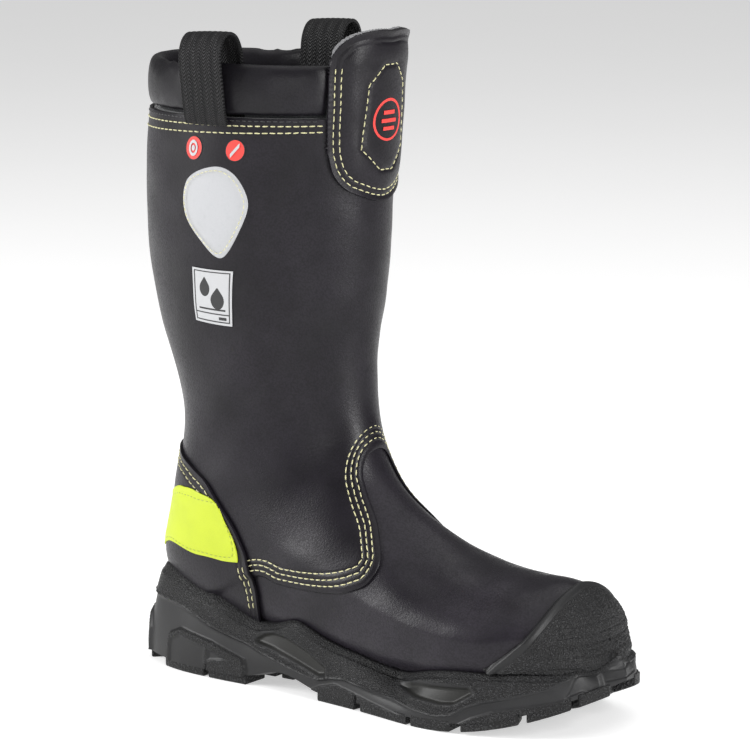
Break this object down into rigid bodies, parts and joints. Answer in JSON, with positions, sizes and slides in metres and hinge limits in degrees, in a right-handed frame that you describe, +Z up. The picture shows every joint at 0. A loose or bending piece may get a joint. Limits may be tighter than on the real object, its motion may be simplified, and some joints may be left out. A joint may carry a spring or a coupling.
{
  "type": "firefighter boot",
  "caption": "Tall pull-on safety boot with a padded collar, webbing pull loops, a front shin guard, a toe bumper, a bright heel band and a lugged sole.",
  "frame": {"origin": "on the ground, under the middle of the boot's bounding box", "axes": "+X towards the toe, -Y towards the outer (lateral) side of the foot, +Z up"},
  "size_m": [0.2979, 0.129, 0.3494],
  "materials": {
    "outsole_rubber": "pebbled black nitrile rubber",
    "midsole_rubber": "smooth and pebbled black polyurethane",
    "shock_pad": "soft shock-absorbing elastomer",
    "steel": "plain pressed steel",
    "board": "cellulose insole board",
    "plate_textile": "dense aramid weave",
    "footbed_felt": "needle felt",
    "foam": "open-cell foam",
    "black_leather": "fine-grained, semi-matt black leather",
    "collar_leather": "soft black leather over foam",
    "lining_textile": "three-layer membrane lining",
    "insulation_felt": "felt insulation",
    "hi_vis": "fluorescent yellow coated textile",
    "red_print": "printed signal red",
    "webbing": "black herringbone webbing",
    "reflector": "off-white reflective leather",
    "label_white": "printed white label",
    "thread": "pale yellow aramid thread"
  },
  "bodies": {
    "boot": {"outsole": "outsole_rubber", "midsole": "midsole_rubber", "toe_bumper": "outsole_rubber", "heel_shock_absorber": "shock_pad", "forefoot_shock_absorber": "shock_pad", "shank": "steel", "insole_board": "board", "penetration_plate": "plate_textile", "toe_cap": "steel", "toe_cap_edge_liner": "foam", "heel_stiffener": "board", "vamp": "black_leather", "vamp_lining": "lining_textile", "shaft": "black_leather", "shaft_lining": "lining_textile", "shaft_insulation": "insulation_felt", "back_stay": "black_leather", "heel_counter": "black_leather", "hi_vis_band": "hi_vis", "collar_cover": "collar_leather", "collar_foam": "foam", "shin_guard": "black_leather", "shin_guard_foam": "foam", "shin_guard_lining": "lining_textile", "shin_guard_emblem": "red_print", "lateral_loop_legs": "webbing", "medial_loop_legs": "webbing", "reflector_patch": "reflector", "rear_badge": "red_print", "front_badge": "red_print", "side_label": "label_white", "vamp_stitching": "thread", "counter_stitching": "thread", "collar_stitching": "thread", "shin_guard_stitching": "thread", "reflector_stitching": "thread"},
    "lateral_loop": {"lateral_loop_arch": "webbing"},
    "medial_loop": {"medial_loop_arch": "webbing"},
    "footbed": {"footbed": "footbed_felt"}
  },
  "joints": [
    {"name": "lateral_loop_tilt", "type": "hinge", "parent": "boot", "child": "lateral_loop", "pos_m": [-0.073, -0.053, 0.3385], "axis": [1, 0, 0], "range_deg": [-25, 25], "stiffness_Nm_per_rad": 0.01},
    {"name": "medial_loop_tilt", "type": "hinge", "parent": "boot", "child": "medial_loop", "pos_m": [-0.073, 0.053, 0.3385], "axis": [1, 0, 0], "range_deg": [-25, 25], "stiffness_Nm_per_rad": 0.01},
    {"name": "footbed_lift", "type": "hinge", "parent": "boot", "child": "footbed", "pos_m": [0.124, 0, 0.0285], "axis": [0, 1, 0], "range_deg": [0, 8]}
  ]
}
